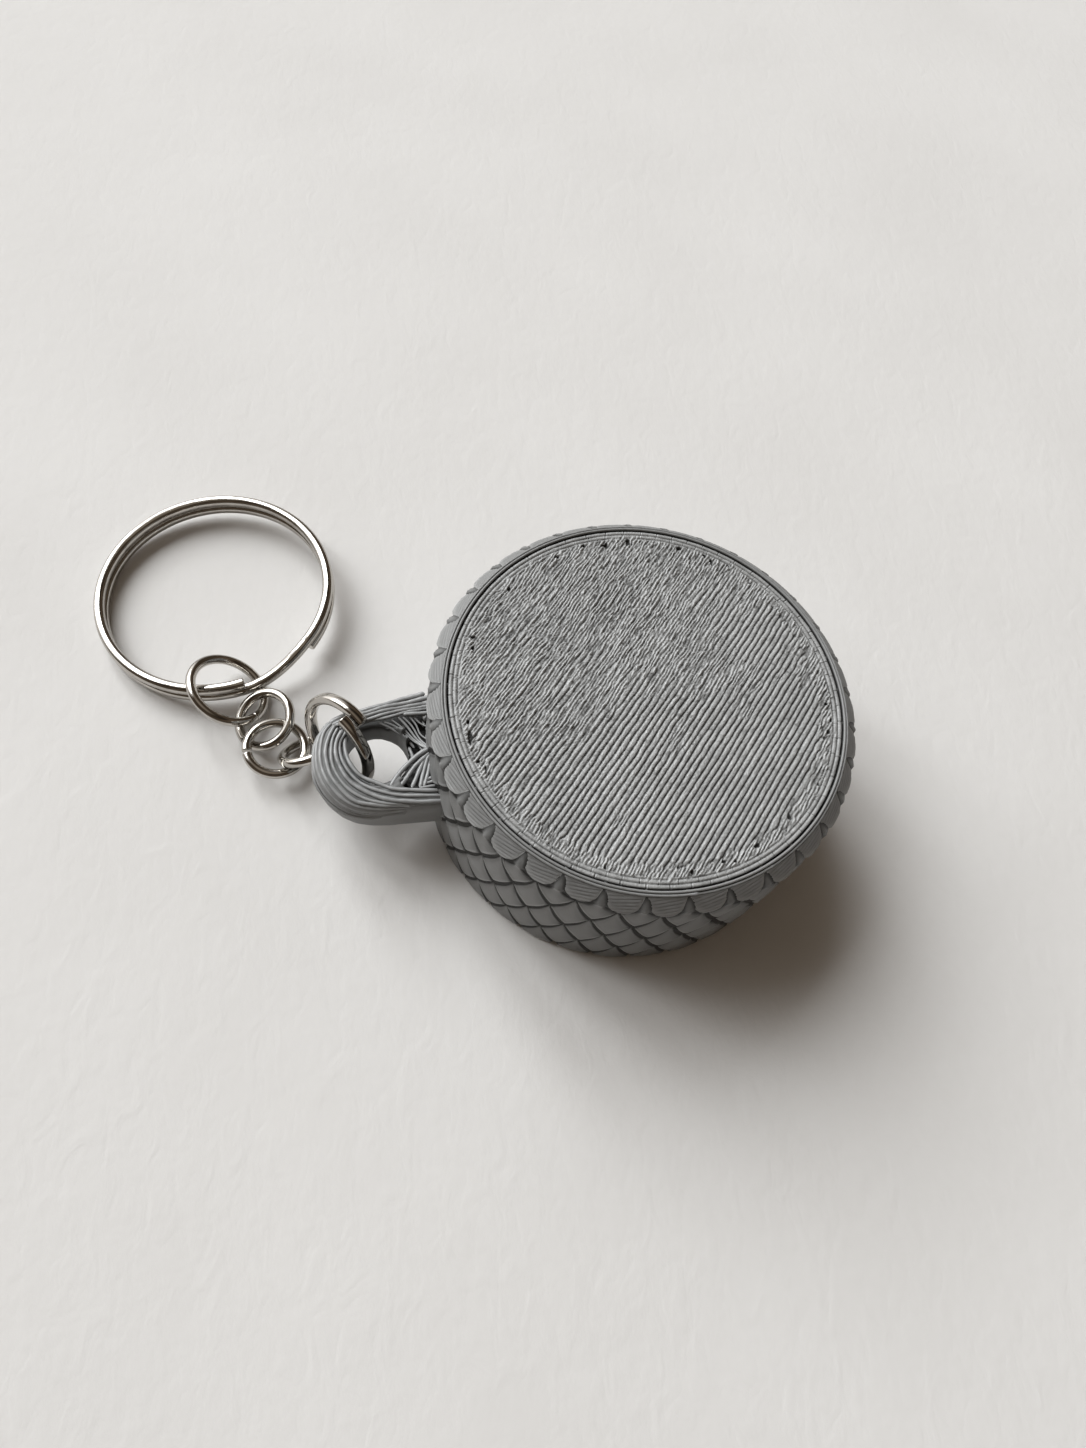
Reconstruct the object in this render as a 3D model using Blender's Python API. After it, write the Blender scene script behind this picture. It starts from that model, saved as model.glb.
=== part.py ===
"""A key ring with a short chain and a printed drum that wears a pattern of scales.

Metres, +Z up. The origin is the middle of the drum's base, and the drum's eye points along -X.
The drum lies flat, and the chain and the split ring lie beside it as they were put down.
"""

import math

import bmesh
import bpy
from mathutils import Matrix, Vector

for old_object in list(bpy.data.objects):
    bpy.data.objects.remove(old_object, do_unlink=True)

# The drum: a ring-shaped case, with a round core that turns in it and is held by a ridge
DRUM_HEIGHT = 0.0184
CORE_RADIUS = 0.01755
CORE_GAP = 0.0003
CORE_CHAMFER = 0.0003
RIDGE_HEIGHT = 0.0006
RIDGE_HALF_WIDTH = 0.0012
CASE_WALL = 0.0008
CASE_BULGE = 0.0002
RIM_WIDTH = 0.0008
RIM_DEPTH = 0.0006
BASE_BAND = 0.0003
BORE_RADIUS = CORE_RADIUS + CORE_GAP
ROOT_RADIUS = BORE_RADIUS + CASE_WALL

# The scales: staggered rows of flat leaves that lean out to a pointed lower edge, with a step
# in beneath it. The first row hangs out from under the rim, and its edges curve more
SCALES_ROUND = 33
SCALE_ROWS = 6
COLUMNS_PER_SCALE = 6
SCALE_RELIEF = 0.0008
SCALE_LENGTH = 0.0060
SCALE_ROW_PITCH = 0.00375
SCALE_EDGE_RISE = 0.0031
FIRST_EDGE_CURVE = 2.6
EDGE_CURVE = 1.3
SCALE_STEP = 0.0002
SCALE_LEAST_SHOW = 0.00015
FIRST_TIP_DROP = 0.0016
SHOULDER_SLOPE = 0.8
PATTERN_TURN_DEG = 3.6

# The eye: a flat tab with a round end and a round hole, half way up the case
EYE_REACH = 0.0244
EYE_OUTER_RADIUS = 0.0059
EYE_HOLE_RADIUS = 0.0031
EYE_BASE = 0.0053
EYE_THICKNESS = 0.0047
EYE_TOP_ROUNDING = 0.0014
EYE_BASE_ROUNDING = 0.0005
EYE_HOLE_ROUNDING = 0.0005
EYE_ROUNDING_STEPS = 3
EYE_ARC_STEPS = 20
EYE_ROOT_STEPS = 4
EYE_ROOT_SHARE = 0.5
CUT_OVERRUN = 0.002

# The wire of the rings, by radius of the wire and radius to its middle
LINK_WIRE = 0.00045
LINK_RADIUS = 0.00285
BIG_LINK_RADIUS = 0.00385
LINK_GAP_WIDTH = 0.0004
LINK_GAP_AT_DEG = 180.0
LINK_POINTS = 36
LINK_WIRE_STEPS = 2
EYE_RING_WIRE = 0.00055
EYE_RING_RADIUS = 0.00436
EYE_RING_SWEEP_DEG = 378.0
EYE_RING_START_DEG = 176.5
EYE_RING_TURN_GAP = 0.0002
SPLIT_WIRE = 0.00057
SPLIT_RADIUS = 0.01195
SPLIT_TURN_GAP = 0.00008
SPLIT_START_DEG = 104.7
SPLIT_STEP_DEG = 38.0
SPLIT_POINTS_PER_TURN = 48
HEAVY_WIRE_STEPS = 3

# How the rings lie. The eye ring hangs on the band round the eye's hole, at an angle from the
# eye's far end, drawn in towards the hole and dropped below half height
EYE_RING_ROUND_DEG = 37.3
EYE_RING_DRAWN_IN = 0.00036
EYE_RING_DROP = 0.0005

# Every other ring is drawn out from the ring that holds it by a share of the pull-tight
# distance. The way to its middle has a compass heading and a rise, in degrees
LINK_4_REACH_SHARE = 0.932
LINK_4_WAY_DEG = (156.8, -52.2)
LINK_3_REACH_SHARE = 0.721
LINK_3_WAY_DEG = (169.3, -9.3)
LINK_2_REACH_SHARE = 0.720
LINK_2_WAY_DEG = (108.8, 0.3)
LINK_1_REACH_SHARE = 0.839
LINK_1_WAY_DEG = (137.1, 6.1)
SPLIT_REACH_SHARE = 0.829
SPLIT_WAY_DEG = (97.2, -2.7)

# The plane of each ring leans from level by the first angle, towards the heading of the second
EYE_RING_LEAN_DEG = (73.9, 219.7)
LINK_4_LEAN_DEG = (46.1, 110.7)
LINK_3_LEAN_DEG = (7.4, 8.5)
LINK_2_LEAN_DEG = (22.5, 196.9)
LINK_1_LEAN_DEG = (32.7, 15.8)
SPLIT_LEAN_DEG = (3.7, 181.0)

CASE_COLOUR = (0.20, 0.20, 0.195, 1.0)
CORE_COLOUR = (0.22, 0.22, 0.215, 1.0)
PRINT_ROUGHNESS = 0.5
STEEL_COLOUR = (0.62, 0.60, 0.57, 1.0)
STEEL_ROUGHNESS = 0.12
SMOOTH_UP_TO_DEG = 32.0


def finish_material(name, colour, roughness, metallic):
    material = bpy.data.materials.new(name)
    material.use_nodes = True
    shader = material.node_tree.nodes["Principled BSDF"]
    shader.inputs["Base Color"].default_value = colour
    shader.inputs["Roughness"].default_value = roughness
    shader.inputs["Metallic"].default_value = metallic
    return material


def add_object(name, data, material, place=Vector()):
    data.materials.append(material)
    item = bpy.data.objects.new(name, data)
    item.location = place
    bpy.context.collection.objects.link(item)
    return item


def smooth(mesh):
    mesh.shade_smooth()
    mesh.set_sharp_from_angle(angle=math.radians(SMOOTH_UP_TO_DEG))


def wall_root(height):
    """The wall under the scales swells a little at half height."""
    middle = DRUM_HEIGHT / 2
    return ROOT_RADIUS + CASE_BULGE * (1 - ((height - middle) / middle) ** 2)


def wall_column(column):
    """One upright line of the case's outside, from the rim down, as radius and height."""
    rim = BORE_RADIUS + RIM_WIDTH
    rim_foot = DRUM_HEIGHT - RIM_DEPTH
    line = [(rim, DRUM_HEIGHT), (rim, rim_foot)]
    ceiling = rim_foot
    for row in range(SCALE_ROWS):
        turn = (column / COLUMNS_PER_SCALE + row / 2) % 1
        side_share = 2 * min(turn, 1 - turn)
        curve = EDGE_CURVE if row else FIRST_EDGE_CURVE
        tip = DRUM_HEIGHT - FIRST_TIP_DROP - row * SCALE_ROW_PITCH
        upper = ceiling - SCALE_STEP
        lower = min(tip + SCALE_EDGE_RISE * side_share**curve, upper - SCALE_LEAST_SHOW)
        lower = max(lower, BASE_BAND)
        upper = max(upper, lower + SCALE_LEAST_SHOW)
        for height in (upper, lower):
            lean_share = min(1, max(0, (tip + SCALE_LENGTH - height) / SCALE_LENGTH))
            shoulder = rim + SHOULDER_SLOPE * (rim_foot - height)
            line.append((min(wall_root(height) + lean_share * SCALE_RELIEF, shoulder), height))
        ceiling = lower
    line.append((wall_root(0), 0))
    return line


def bore_line():
    """The bore from the rim down, with the groove that keeps the core's ridge."""
    middle = DRUM_HEIGHT / 2
    half = RIDGE_HALF_WIDTH + CORE_GAP
    return [
        (BORE_RADIUS, DRUM_HEIGHT),
        (BORE_RADIUS, middle + half),
        (BORE_RADIUS + RIDGE_HEIGHT, middle),
        (BORE_RADIUS, middle - half),
        (BORE_RADIUS, 0),
    ]


def ring_of_columns(mesh, lines):
    """Vertices for upright lines set evenly round the axis, and the walls between them."""
    turn = math.radians(PATTERN_TURN_DEG)
    columns = []
    for index, line in enumerate(lines):
        angle = turn + 2 * math.pi * index / len(lines)
        ring = [mesh.verts.new((r * math.cos(angle), r * math.sin(angle), z)) for r, z in line]
        columns.append(ring)
    for left, right in zip(columns, columns[1:] + columns[:1]):
        for row in range(len(left) - 1):
            mesh.faces.new((left[row], left[row + 1], right[row + 1], right[row]))
    return columns


def close_end(mesh, outside, inside, row):
    """The flat ring between the outside and the bore, which has half as many columns."""
    for index, inner in enumerate(inside):
        inner_next = inside[(index + 1) % len(inside)]
        first = outside[2 * index][row]
        middle = outside[2 * index + 1][row]
        last = outside[(2 * index + 2) % len(outside)][row]
        mesh.faces.new((inner[row], first, middle))
        mesh.faces.new((inner[row], middle, inner_next[row]))
        mesh.faces.new((inner_next[row], middle, last))


def make_case(material):
    column_count = SCALES_ROUND * COLUMNS_PER_SCALE
    mesh = bmesh.new()
    outside = ring_of_columns(mesh, [wall_column(column) for column in range(column_count)])
    inside = ring_of_columns(mesh, [bore_line()] * (column_count // 2))
    close_end(mesh, outside, inside, 0)
    close_end(mesh, outside, inside, -1)
    bmesh.ops.recalc_face_normals(mesh, faces=mesh.faces)
    data = bpy.data.meshes.new("drum_case")
    mesh.to_mesh(data)
    mesh.free()
    smooth(data)
    return add_object("drum_case", data, material)


def rounded_side(base, top, base_rounding, top_rounding):
    """Heights up a wall with rounded edges, and how far the wall is drawn in at each."""
    side = []
    for step in range(EYE_ROUNDING_STEPS + 1):
        angle = math.pi / 2 * step / EYE_ROUNDING_STEPS
        side.append((base + base_rounding * (1 - math.sin(angle)), base_rounding * (1 - math.cos(angle))))
    side.reverse()
    for step in range(EYE_ROUNDING_STEPS + 1):
        angle = math.pi / 2 * step / EYE_ROUNDING_STEPS
        side.append((top - top_rounding * (1 - math.sin(angle)), top_rounding * (1 - math.cos(angle))))
    return side


def eye_outline(drawn_in):
    """The tab seen from above: a round end, straight sides and a root inside the case's wall."""
    half_width = EYE_OUTER_RADIUS - drawn_in
    points = []
    for step in range(EYE_ARC_STEPS + 1):
        angle = math.pi / 2 + math.pi * step / EYE_ARC_STEPS
        points.append((half_width * math.cos(angle) - EYE_REACH, half_width * math.sin(angle)))
    root_radius = BORE_RADIUS + EYE_ROOT_SHARE * CASE_WALL
    half_angle = math.asin(half_width / root_radius)
    for step in range(EYE_ROOT_STEPS + 1):
        angle = math.pi + half_angle - 2 * half_angle * step / EYE_ROOT_STEPS
        points.append((root_radius * math.cos(angle), root_radius * math.sin(angle)))
    return points


def hole_outline(drawn_in):
    """The eye's hole seen from above. It flares where the tab's faces round over into it."""
    radius = EYE_HOLE_RADIUS + drawn_in
    points = []
    for step in range(2 * EYE_ARC_STEPS):
        angle = math.pi * step / EYE_ARC_STEPS
        points.append((radius * math.cos(angle) - EYE_REACH, radius * math.sin(angle)))
    return points


def stacked_block(name, outline, side, material):
    """A closed block from one outline per height. It only guides a Boolean, so it stays hidden."""
    mesh = bmesh.new()
    layers = [[mesh.verts.new((x, y, height)) for x, y in outline(drawn_in)] for height, drawn_in in side]
    for lower, upper in zip(layers, layers[1:]):
        for index in range(len(lower)):
            mesh.faces.new((lower[index - 1], lower[index], upper[index], upper[index - 1]))
    mesh.faces.new(layers[0])
    mesh.faces.new(layers[-1])
    bmesh.ops.recalc_face_normals(mesh, faces=mesh.faces)
    data = bpy.data.meshes.new(name)
    mesh.to_mesh(data)
    mesh.free()
    block = add_object(name, data, material)
    block.hide_render = True
    block.display_type = "WIRE"
    return block


def make_eye_blank(material):
    top = EYE_BASE + EYE_THICKNESS
    side = rounded_side(EYE_BASE, top, EYE_BASE_ROUNDING, EYE_TOP_ROUNDING)
    blank = stacked_block("eye_blank", eye_outline, side, material)
    flare = rounded_side(EYE_BASE, top, EYE_HOLE_ROUNDING, EYE_HOLE_ROUNDING)
    flare.insert(0, (EYE_BASE - CUT_OVERRUN, EYE_HOLE_ROUNDING))
    flare.append((top + CUT_OVERRUN, EYE_HOLE_ROUNDING))
    cutter = stacked_block("eye_hole_cutter", hole_outline, flare, material)
    hole = blank.modifiers.new("hole", "BOOLEAN")
    hole.operation = "DIFFERENCE"
    hole.object = cutter
    return blank


def join_eye(case, blank):
    joint = case.modifiers.new("eye", "BOOLEAN")
    joint.operation = "UNION"
    joint.object = blank


def make_core(material):
    """The core is turned: flat faces, chamfered edges and the ridge at half height."""
    middle = DRUM_HEIGHT / 2
    profile = [
        (CORE_RADIUS - CORE_CHAMFER, 0),
        (CORE_RADIUS, CORE_CHAMFER),
        (CORE_RADIUS, middle - RIDGE_HALF_WIDTH),
        (CORE_RADIUS + RIDGE_HEIGHT, middle),
        (CORE_RADIUS, middle + RIDGE_HALF_WIDTH),
        (CORE_RADIUS, DRUM_HEIGHT - CORE_CHAMFER),
        (CORE_RADIUS - CORE_CHAMFER, DRUM_HEIGHT),
    ]
    mesh = bmesh.new()
    line = [mesh.verts.new((radius, 0, height)) for radius, height in profile]
    edges = [mesh.edges.new(pair) for pair in zip(line, line[1:])]
    bmesh.ops.spin(
        mesh,
        geom=line + edges,
        axis=(0, 0, 1),
        cent=(0, 0, 0),
        steps=SCALES_ROUND * COLUMNS_PER_SCALE // 2,
        angle=2 * math.pi,
        use_merge=True,
    )
    rims = [edge for edge in mesh.edges if edge.is_boundary]
    bmesh.ops.holes_fill(mesh, edges=rims, sides=0)
    bmesh.ops.recalc_face_normals(mesh, faces=mesh.faces)
    data = bpy.data.meshes.new("drum_core")
    mesh.to_mesh(data)
    mesh.free()
    smooth(data)
    return add_object("drum_core", data, material)


class Ring:
    """A ring of wire: its middle, the lean of its plane, its radius and its wire's radius."""

    def __init__(self, middle, lean_deg, radius, wire):
        lean, heading = (math.radians(angle) for angle in lean_deg)
        self.turn = Matrix.Rotation(heading, 3, "Z") @ Matrix.Rotation(lean, 3, "Y")
        self.middle = middle
        self.radius = radius
        self.wire = wire

    def point(self, angle, along=0):
        flat = Vector((self.radius * math.cos(angle), self.radius * math.sin(angle), along))
        return self.middle + self.turn @ flat


def held_ring(holder, radius, wire, reach_share, way_deg, lean_deg):
    """A ring that is drawn out of its holder by a share of the pull-tight distance."""
    pull_tight = holder.radius - holder.wire + radius - wire
    heading, rise = (math.radians(angle) for angle in way_deg)
    level = math.cos(rise)
    way = Vector((level * math.cos(heading), level * math.sin(heading), math.sin(rise)))
    return Ring(holder.middle + reach_share * pull_tight * way, lean_deg, radius, wire)


def swing_point(holder, ring):
    """The point inside the ring where the holder's wire passes through the ring's plane."""
    normal = ring.turn.col[2]
    across = holder.turn.col[0].dot(normal)
    along = holder.turn.col[1].dot(normal)
    offset = (ring.middle - holder.middle).dot(normal) / holder.radius
    base = math.atan2(along, across)
    spread = math.acos(offset / math.hypot(across, along))
    crossings = [holder.point(base + spread), holder.point(base - spread)]
    return min(crossings, key=lambda point: (point - ring.middle).length)


def wire_object(name, points, closed, ring, holder, roundness, material):
    """Round wire along the points. The object's origin is the point that the ring swings on."""
    pivot = swing_point(holder, ring)
    data = bpy.data.curves.new(name, "CURVE")
    data.dimensions = "3D"
    data.bevel_depth = ring.wire
    data.bevel_resolution = roundness
    data.use_fill_caps = not closed
    spline = data.splines.new("POLY")
    spline.points.add(len(points) - 1)
    for slot, point in zip(spline.points, points):
        slot.co = (*(point - pivot), 1)
    spline.use_cyclic_u = closed
    return add_object(name, data, material, pivot)


def make_closed_ring(name, ring, holder, material):
    angles = [2 * math.pi * step / LINK_POINTS for step in range(LINK_POINTS)]
    points = [ring.point(angle) for angle in angles]
    return wire_object(name, points, True, ring, holder, LINK_WIRE_STEPS, material)


def make_open_ring(name, ring, holder, material):
    """A jump ring with a gap between its ends."""
    missing = LINK_GAP_WIDTH / ring.radius
    start = math.radians(LINK_GAP_AT_DEG) + missing / 2
    sweep = 2 * math.pi - missing
    points = [ring.point(start + sweep * step / LINK_POINTS) for step in range(LINK_POINTS + 1)]
    return wire_object(name, points, False, ring, holder, LINK_WIRE_STEPS, material)


def make_eye_ring(ring, holder, material):
    """A jump ring whose ends pass each other side by side."""
    sweep = math.radians(EYE_RING_SWEEP_DEG)
    climb = (2 * ring.wire + EYE_RING_TURN_GAP) * sweep / (2 * math.pi)
    count = round(LINK_POINTS * EYE_RING_SWEEP_DEG / 360)
    start = math.radians(EYE_RING_START_DEG)
    points = []
    for step in range(count + 1):
        share = step / count
        points.append(ring.point(start - sweep * share, climb * (1 / 2 - share)))
    return wire_object("eye_ring", points, False, ring, holder, HEAVY_WIRE_STEPS, material)


def make_split_ring(ring, holder, material):
    """Two turns that lie on each other, with one step from the upper turn to the lower."""
    sweep_deg = 720 - SPLIT_STEP_DEG
    count = round(SPLIT_POINTS_PER_TURN * sweep_deg / 360)
    spacing = 2 * ring.wire + SPLIT_TURN_GAP
    points = []
    for step in range(count + 1):
        swept = sweep_deg * step / count
        share = min(1, max(0, (swept - 360 + SPLIT_STEP_DEG) / SPLIT_STEP_DEG))
        level = 1 / 2 - share * share * (3 - 2 * share)
        points.append(ring.point(math.radians(SPLIT_START_DEG - swept), spacing * level))
    return wire_object("split_ring", points, False, ring, holder, HEAVY_WIRE_STEPS, material)


def eye_band():
    """The band round the eye's hole, taken as the ring that holds the eye ring."""
    middle = Vector((-EYE_REACH, 0, EYE_BASE + EYE_THICKNESS / 2))
    return Ring(middle, (0, 0), (EYE_OUTER_RADIUS + EYE_HOLE_RADIUS) / 2, EYE_THICKNESS / 2)


def hung_eye_ring(band):
    angle = math.radians(180 - EYE_RING_ROUND_DEG)
    out = band.radius - EYE_RING_DRAWN_IN
    place = Vector((out * math.cos(angle), out * math.sin(angle), -EYE_RING_DROP))
    return Ring(band.middle + place, EYE_RING_LEAN_DEG, EYE_RING_RADIUS, EYE_RING_WIRE)


grey_print = finish_material("grey_print", CASE_COLOUR, PRINT_ROUGHNESS, 0)
grey_face = finish_material("grey_face", CORE_COLOUR, PRINT_ROUGHNESS, 0)
plated_steel = finish_material("plated_steel", STEEL_COLOUR, STEEL_ROUGHNESS, 1)

join_eye(make_case(grey_print), make_eye_blank(grey_print))
make_core(grey_face)

band = eye_band()
eye_ring = hung_eye_ring(band)
link_4 = held_ring(
    eye_ring, LINK_RADIUS, LINK_WIRE, LINK_4_REACH_SHARE, LINK_4_WAY_DEG, LINK_4_LEAN_DEG
)
link_3 = held_ring(
    link_4, LINK_RADIUS, LINK_WIRE, LINK_3_REACH_SHARE, LINK_3_WAY_DEG, LINK_3_LEAN_DEG
)
link_2 = held_ring(
    link_3, LINK_RADIUS, LINK_WIRE, LINK_2_REACH_SHARE, LINK_2_WAY_DEG, LINK_2_LEAN_DEG
)
link_1 = held_ring(
    link_2, BIG_LINK_RADIUS, LINK_WIRE, LINK_1_REACH_SHARE, LINK_1_WAY_DEG, LINK_1_LEAN_DEG
)
split = held_ring(
    link_1, SPLIT_RADIUS, SPLIT_WIRE, SPLIT_REACH_SHARE, SPLIT_WAY_DEG, SPLIT_LEAN_DEG
)
make_eye_ring(eye_ring, band, plated_steel)
make_closed_ring("ring_link_4", link_4, eye_ring, plated_steel)
make_open_ring("ring_link_3", link_3, link_4, plated_steel)
make_closed_ring("ring_link_2", link_2, link_3, plated_steel)
make_closed_ring("ring_link_1", link_1, link_2, plated_steel)
make_split_ring(split, link_1, plated_steel)
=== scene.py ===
"""A key ring with a short chain, and a printed drum whose wall wears scales.

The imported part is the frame. Each section makes one piece as the real one is made, and hangs it
on the body that it belongs to.
"""

import math

import bmesh
import bpy
import numpy as np
from mathutils import Matrix, Vector


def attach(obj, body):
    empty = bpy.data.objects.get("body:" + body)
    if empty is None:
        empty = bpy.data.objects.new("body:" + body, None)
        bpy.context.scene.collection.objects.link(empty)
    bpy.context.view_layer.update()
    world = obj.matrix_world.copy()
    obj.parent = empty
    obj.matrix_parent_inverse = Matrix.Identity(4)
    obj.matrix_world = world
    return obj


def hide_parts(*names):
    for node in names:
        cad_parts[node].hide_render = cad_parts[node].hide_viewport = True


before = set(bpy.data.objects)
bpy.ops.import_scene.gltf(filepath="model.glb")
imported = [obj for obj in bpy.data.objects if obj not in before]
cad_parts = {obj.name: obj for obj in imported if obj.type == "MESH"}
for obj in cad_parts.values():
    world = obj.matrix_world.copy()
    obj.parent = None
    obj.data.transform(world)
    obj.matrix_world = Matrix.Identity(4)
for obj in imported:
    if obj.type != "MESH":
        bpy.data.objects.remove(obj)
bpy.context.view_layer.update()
scene = bpy.context.scene
scene.view_settings.view_transform = "Standard"

# --------------------------------------
# The camera. The photograph was taken by hand from close above the near side, with a wide lens,
# so near things look larger.
mm = 0.001


def put_in(name, what):
    """An object of what it is to show, put into the scene."""
    thing = bpy.data.objects.new(name, what)
    scene.collection.objects.link(thing)
    return thing


camera = put_in("hand_camera", bpy.data.cameras.new("hand_camera"))
camera.data.sensor_width = 36.0
camera.data.lens = 23.62
camera.data.clip_start = 1 * mm
camera.data.clip_end = 20.0
picture_right = Vector((0.98643, -0.12162, 0.11026)).normalized()
picture_up = Vector((0.06312, 0.90103, 0.42913)).normalized()
towards_camera = picture_right.cross(picture_up).normalized()
stands_at = Matrix((picture_right, picture_up, towards_camera)).transposed().to_4x4()
stands_at.translation = Vector((-22.16461, -36.33682, 91.71056)) * mm
camera.matrix_world = stands_at
scene.camera = camera

# --------------------------------------
# The table top. A wide sheet of pale warm board, matt and very slightly mottled. It lies a hair
# below the part, so that no face of the two falls together.
TABLE_HALF = 1200 * mm
TABLE_BELOW = 0.02 * mm


def adder(tree):
    """A short way to add a node to a tree. What follows its settings is joined to its sockets,
    which go by their names or, as i0, i1 and so on, by their places."""

    def add(kind, settings=None, **joined):
        node = tree.nodes.new(kind)
        for key, value in (settings or {}).items():
            setattr(node, key, value)
        for socket, value in joined.items():
            slot = node.inputs[int(socket[1:])] if socket[1:].isdigit() else node.inputs[socket]
            if isinstance(value, bpy.types.NodeSocket):
                tree.links.new(value, slot)
            else:
                slot.default_value = value
        return node

    return add


def fill_ramp(ramp, stops):
    """Give a ramp its colours, each stop a place from 0 to 1 and a colour."""
    while len(ramp.elements) < len(stops):
        ramp.elements.new(0.5)
    for element, (place, colour) in zip(ramp.elements, stops):
        element.position = place
        element.color = (*colour, 1.0)


class Finish:
    """A finish in the making, with short ways to add its nodes. Tones run from 0 to 1."""

    def __init__(self, name):
        self.made = bpy.data.materials.new(name)
        self.made.use_nodes = True
        self.tree = self.made.node_tree
        self.shader = self.tree.nodes["Principled BSDF"]
        self.add = adder(self.tree)
        self.where = self.add("ShaderNodeTexCoord").outputs["Object"]

    def noise(self, place, scale, detail, **more):
        """An uneven tone, with about scale lumps to the metre."""
        return self.add("ShaderNodeTexNoise", Vector=place, Scale=scale, Detail=detail,
                        **more).outputs["Fac"]

    def stretched(self, place, *scale):
        return self.add("ShaderNodeMapping", Vector=place, Scale=scale).outputs[0]

    def laid_over(self, upper, share, lower):
        """A share of one tone on top of another."""
        return self.add("ShaderNodeMath", {"operation": "MULTIPLY_ADD"}, i0=upper, i1=share,
                        i2=lower).outputs[0]

    def blend_of(self, tone, stops):
        """The colour that a ramp of stops has at a tone."""
        ramp = self.add("ShaderNodeValToRGB", i0=tone)
        fill_ramp(ramp.color_ramp, stops)
        return ramp.outputs[0]

    def between(self, tone, low, high, out_low, out_high):
        """A number that runs from out_low to out_high as the tone runs from low to high."""
        return self.add("ShaderNodeMapRange", i0=tone, i1=low, i2=high, i3=out_low,
                        i4=out_high).outputs[0]

    def raised(self, tone, depth, under=None):
        """Fine relief, depth metres high, over relief that is already there."""
        bump = self.add("ShaderNodeBump", Strength=1.0, Distance=depth, Height=tone)
        if under is not None:
            self.tree.links.new(under, bump.inputs["Normal"])
        return bump.outputs[0]

    def into(self, socket, value):
        self.tree.links.new(value, self.shader.inputs[socket])


def board_finish():
    """Pulp board, clouded by its fibres, with the faint ripple of a rolled sheet."""
    board = Finish("pale_board")
    clouds = board.noise(board.where, 38.0, 3.0)
    fibre = board.noise(board.where, 900.0, 4.0, Roughness=0.65)
    board.into("Base Color", board.blend_of(board.laid_over(fibre, 0.35, clouds), [
        (0.45, (0.723, 0.702, 0.682)), (0.90, (0.762, 0.742, 0.723))]))
    board.into("Roughness", board.between(fibre, 0.3, 0.7, 0.86, 0.96))
    ripple = board.noise(board.stretched(board.where, 520.0, 300.0, 400.0), 1.0, 2.0,
                         Distortion=0.8)
    board.into("Normal", board.raised(fibre, 0.02 * mm, board.raised(ripple, 0.05 * mm)))
    return board.made


table_mesh = bmesh.new()
bmesh.ops.create_grid(table_mesh, x_segments=24, y_segments=24, size=TABLE_HALF)
table_top = put_in("table_top", bpy.data.meshes.new("table_top"))
table_mesh.to_mesh(table_top.data)
table_mesh.free()
table_top.data.materials.append(board_finish())
table_top.location.z = -TABLE_BELOW

# --------------------------------------
# The light. A tall window of three panes on the far left gives soft light, with a pale sheer
# curtain glowing round it. The room is dim and warm, with paler walls low down, and the plated
# wire mirrors it all.
WINDOW_WAY = Vector((-0.50, 0.62, 0.72)).normalized()
WINDOW_FAR = 4500 * mm
PANE_HEIGHT = 3100 * mm
PANES = [(-1250 * mm, 920 * mm), (60 * mm, 860 * mm), (1290 * mm, 760 * mm)]  # aside, width
PANE_GLOW = 27.6
CURTAIN_WAY = Vector((-0.56, 0.66, 0.48)).normalized()
CURTAIN_GLOW = 1.9
CURTAIN_EDGE = 0.66  # as the cosine of the angle from the curtain's middle
ROOM_GLOW = 0.75
turn_to_table = (-WINDOW_WAY).to_track_quat("-Z", "Y")
for number, (aside, width) in enumerate(PANES):
    pane = put_in(f"pane_{number}", bpy.data.lights.new(f"pane_{number}", "AREA"))
    pane.data.shape = "RECTANGLE"
    pane.data.size, pane.data.size_y = width, PANE_HEIGHT
    pane.data.energy = PANE_GLOW * width * PANE_HEIGHT
    pane.data.color = (0.94, 0.98, 1.0)
    pane.location = WINDOW_WAY * WINDOW_FAR + turn_to_table @ Vector((aside, 0, 0))
    pane.rotation_mode = "QUATERNION"
    pane.rotation_quaternion = turn_to_table
    pane.visible_camera = False

room = bpy.data.worlds.new("room")
scene.world = room
room.use_nodes = True
add = adder(room.node_tree)
looking = add("ShaderNodeTexCoord").outputs["Generated"]
walls = add("ShaderNodeValToRGB", i0=add("ShaderNodeSeparateXYZ", i0=looking).outputs["Z"])
walls_to_ceiling = [
    (0.00, (0.390, 0.348, 0.294)),
    (0.12, (0.326, 0.282, 0.234)),
    (0.22, (0.049, 0.038, 0.028)),
    (0.46, (0.124, 0.093, 0.065)),
    (0.62, (0.188, 0.141, 0.100)),
    (0.74, (0.023, 0.018, 0.013)),
    (0.86, (0.086, 0.066, 0.048)),
    (0.93, (0.281, 0.236, 0.189)),
    (1.00, (0.410, 0.352, 0.290)),
]
fill_ramp(walls.color_ramp, [(place, [ROOM_GLOW * part for part in colour])
                             for place, colour in walls_to_ceiling])
near_window = add("ShaderNodeVectorMath", {"operation": "DOT_PRODUCT"}, i0=looking,
                  i1=CURTAIN_WAY).outputs["Value"]
curtain = add("ShaderNodeMapRange", {"interpolation_type": "SMOOTHERSTEP"}, i0=near_window,
              i1=CURTAIN_EDGE, i2=1.0, i3=0.0, i4=CURTAIN_GLOW).outputs[0]
lit_room = add("ShaderNodeMix", {"data_type": "RGBA", "blend_type": "ADD"}, i0=1.0,
               i6=walls.outputs[0], i7=curtain).outputs[2]
room.node_tree.links.new(lit_room, room.node_tree.nodes["Background"].inputs[0])
room.node_tree.nodes["Background"].inputs[1].default_value = 1.0

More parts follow.
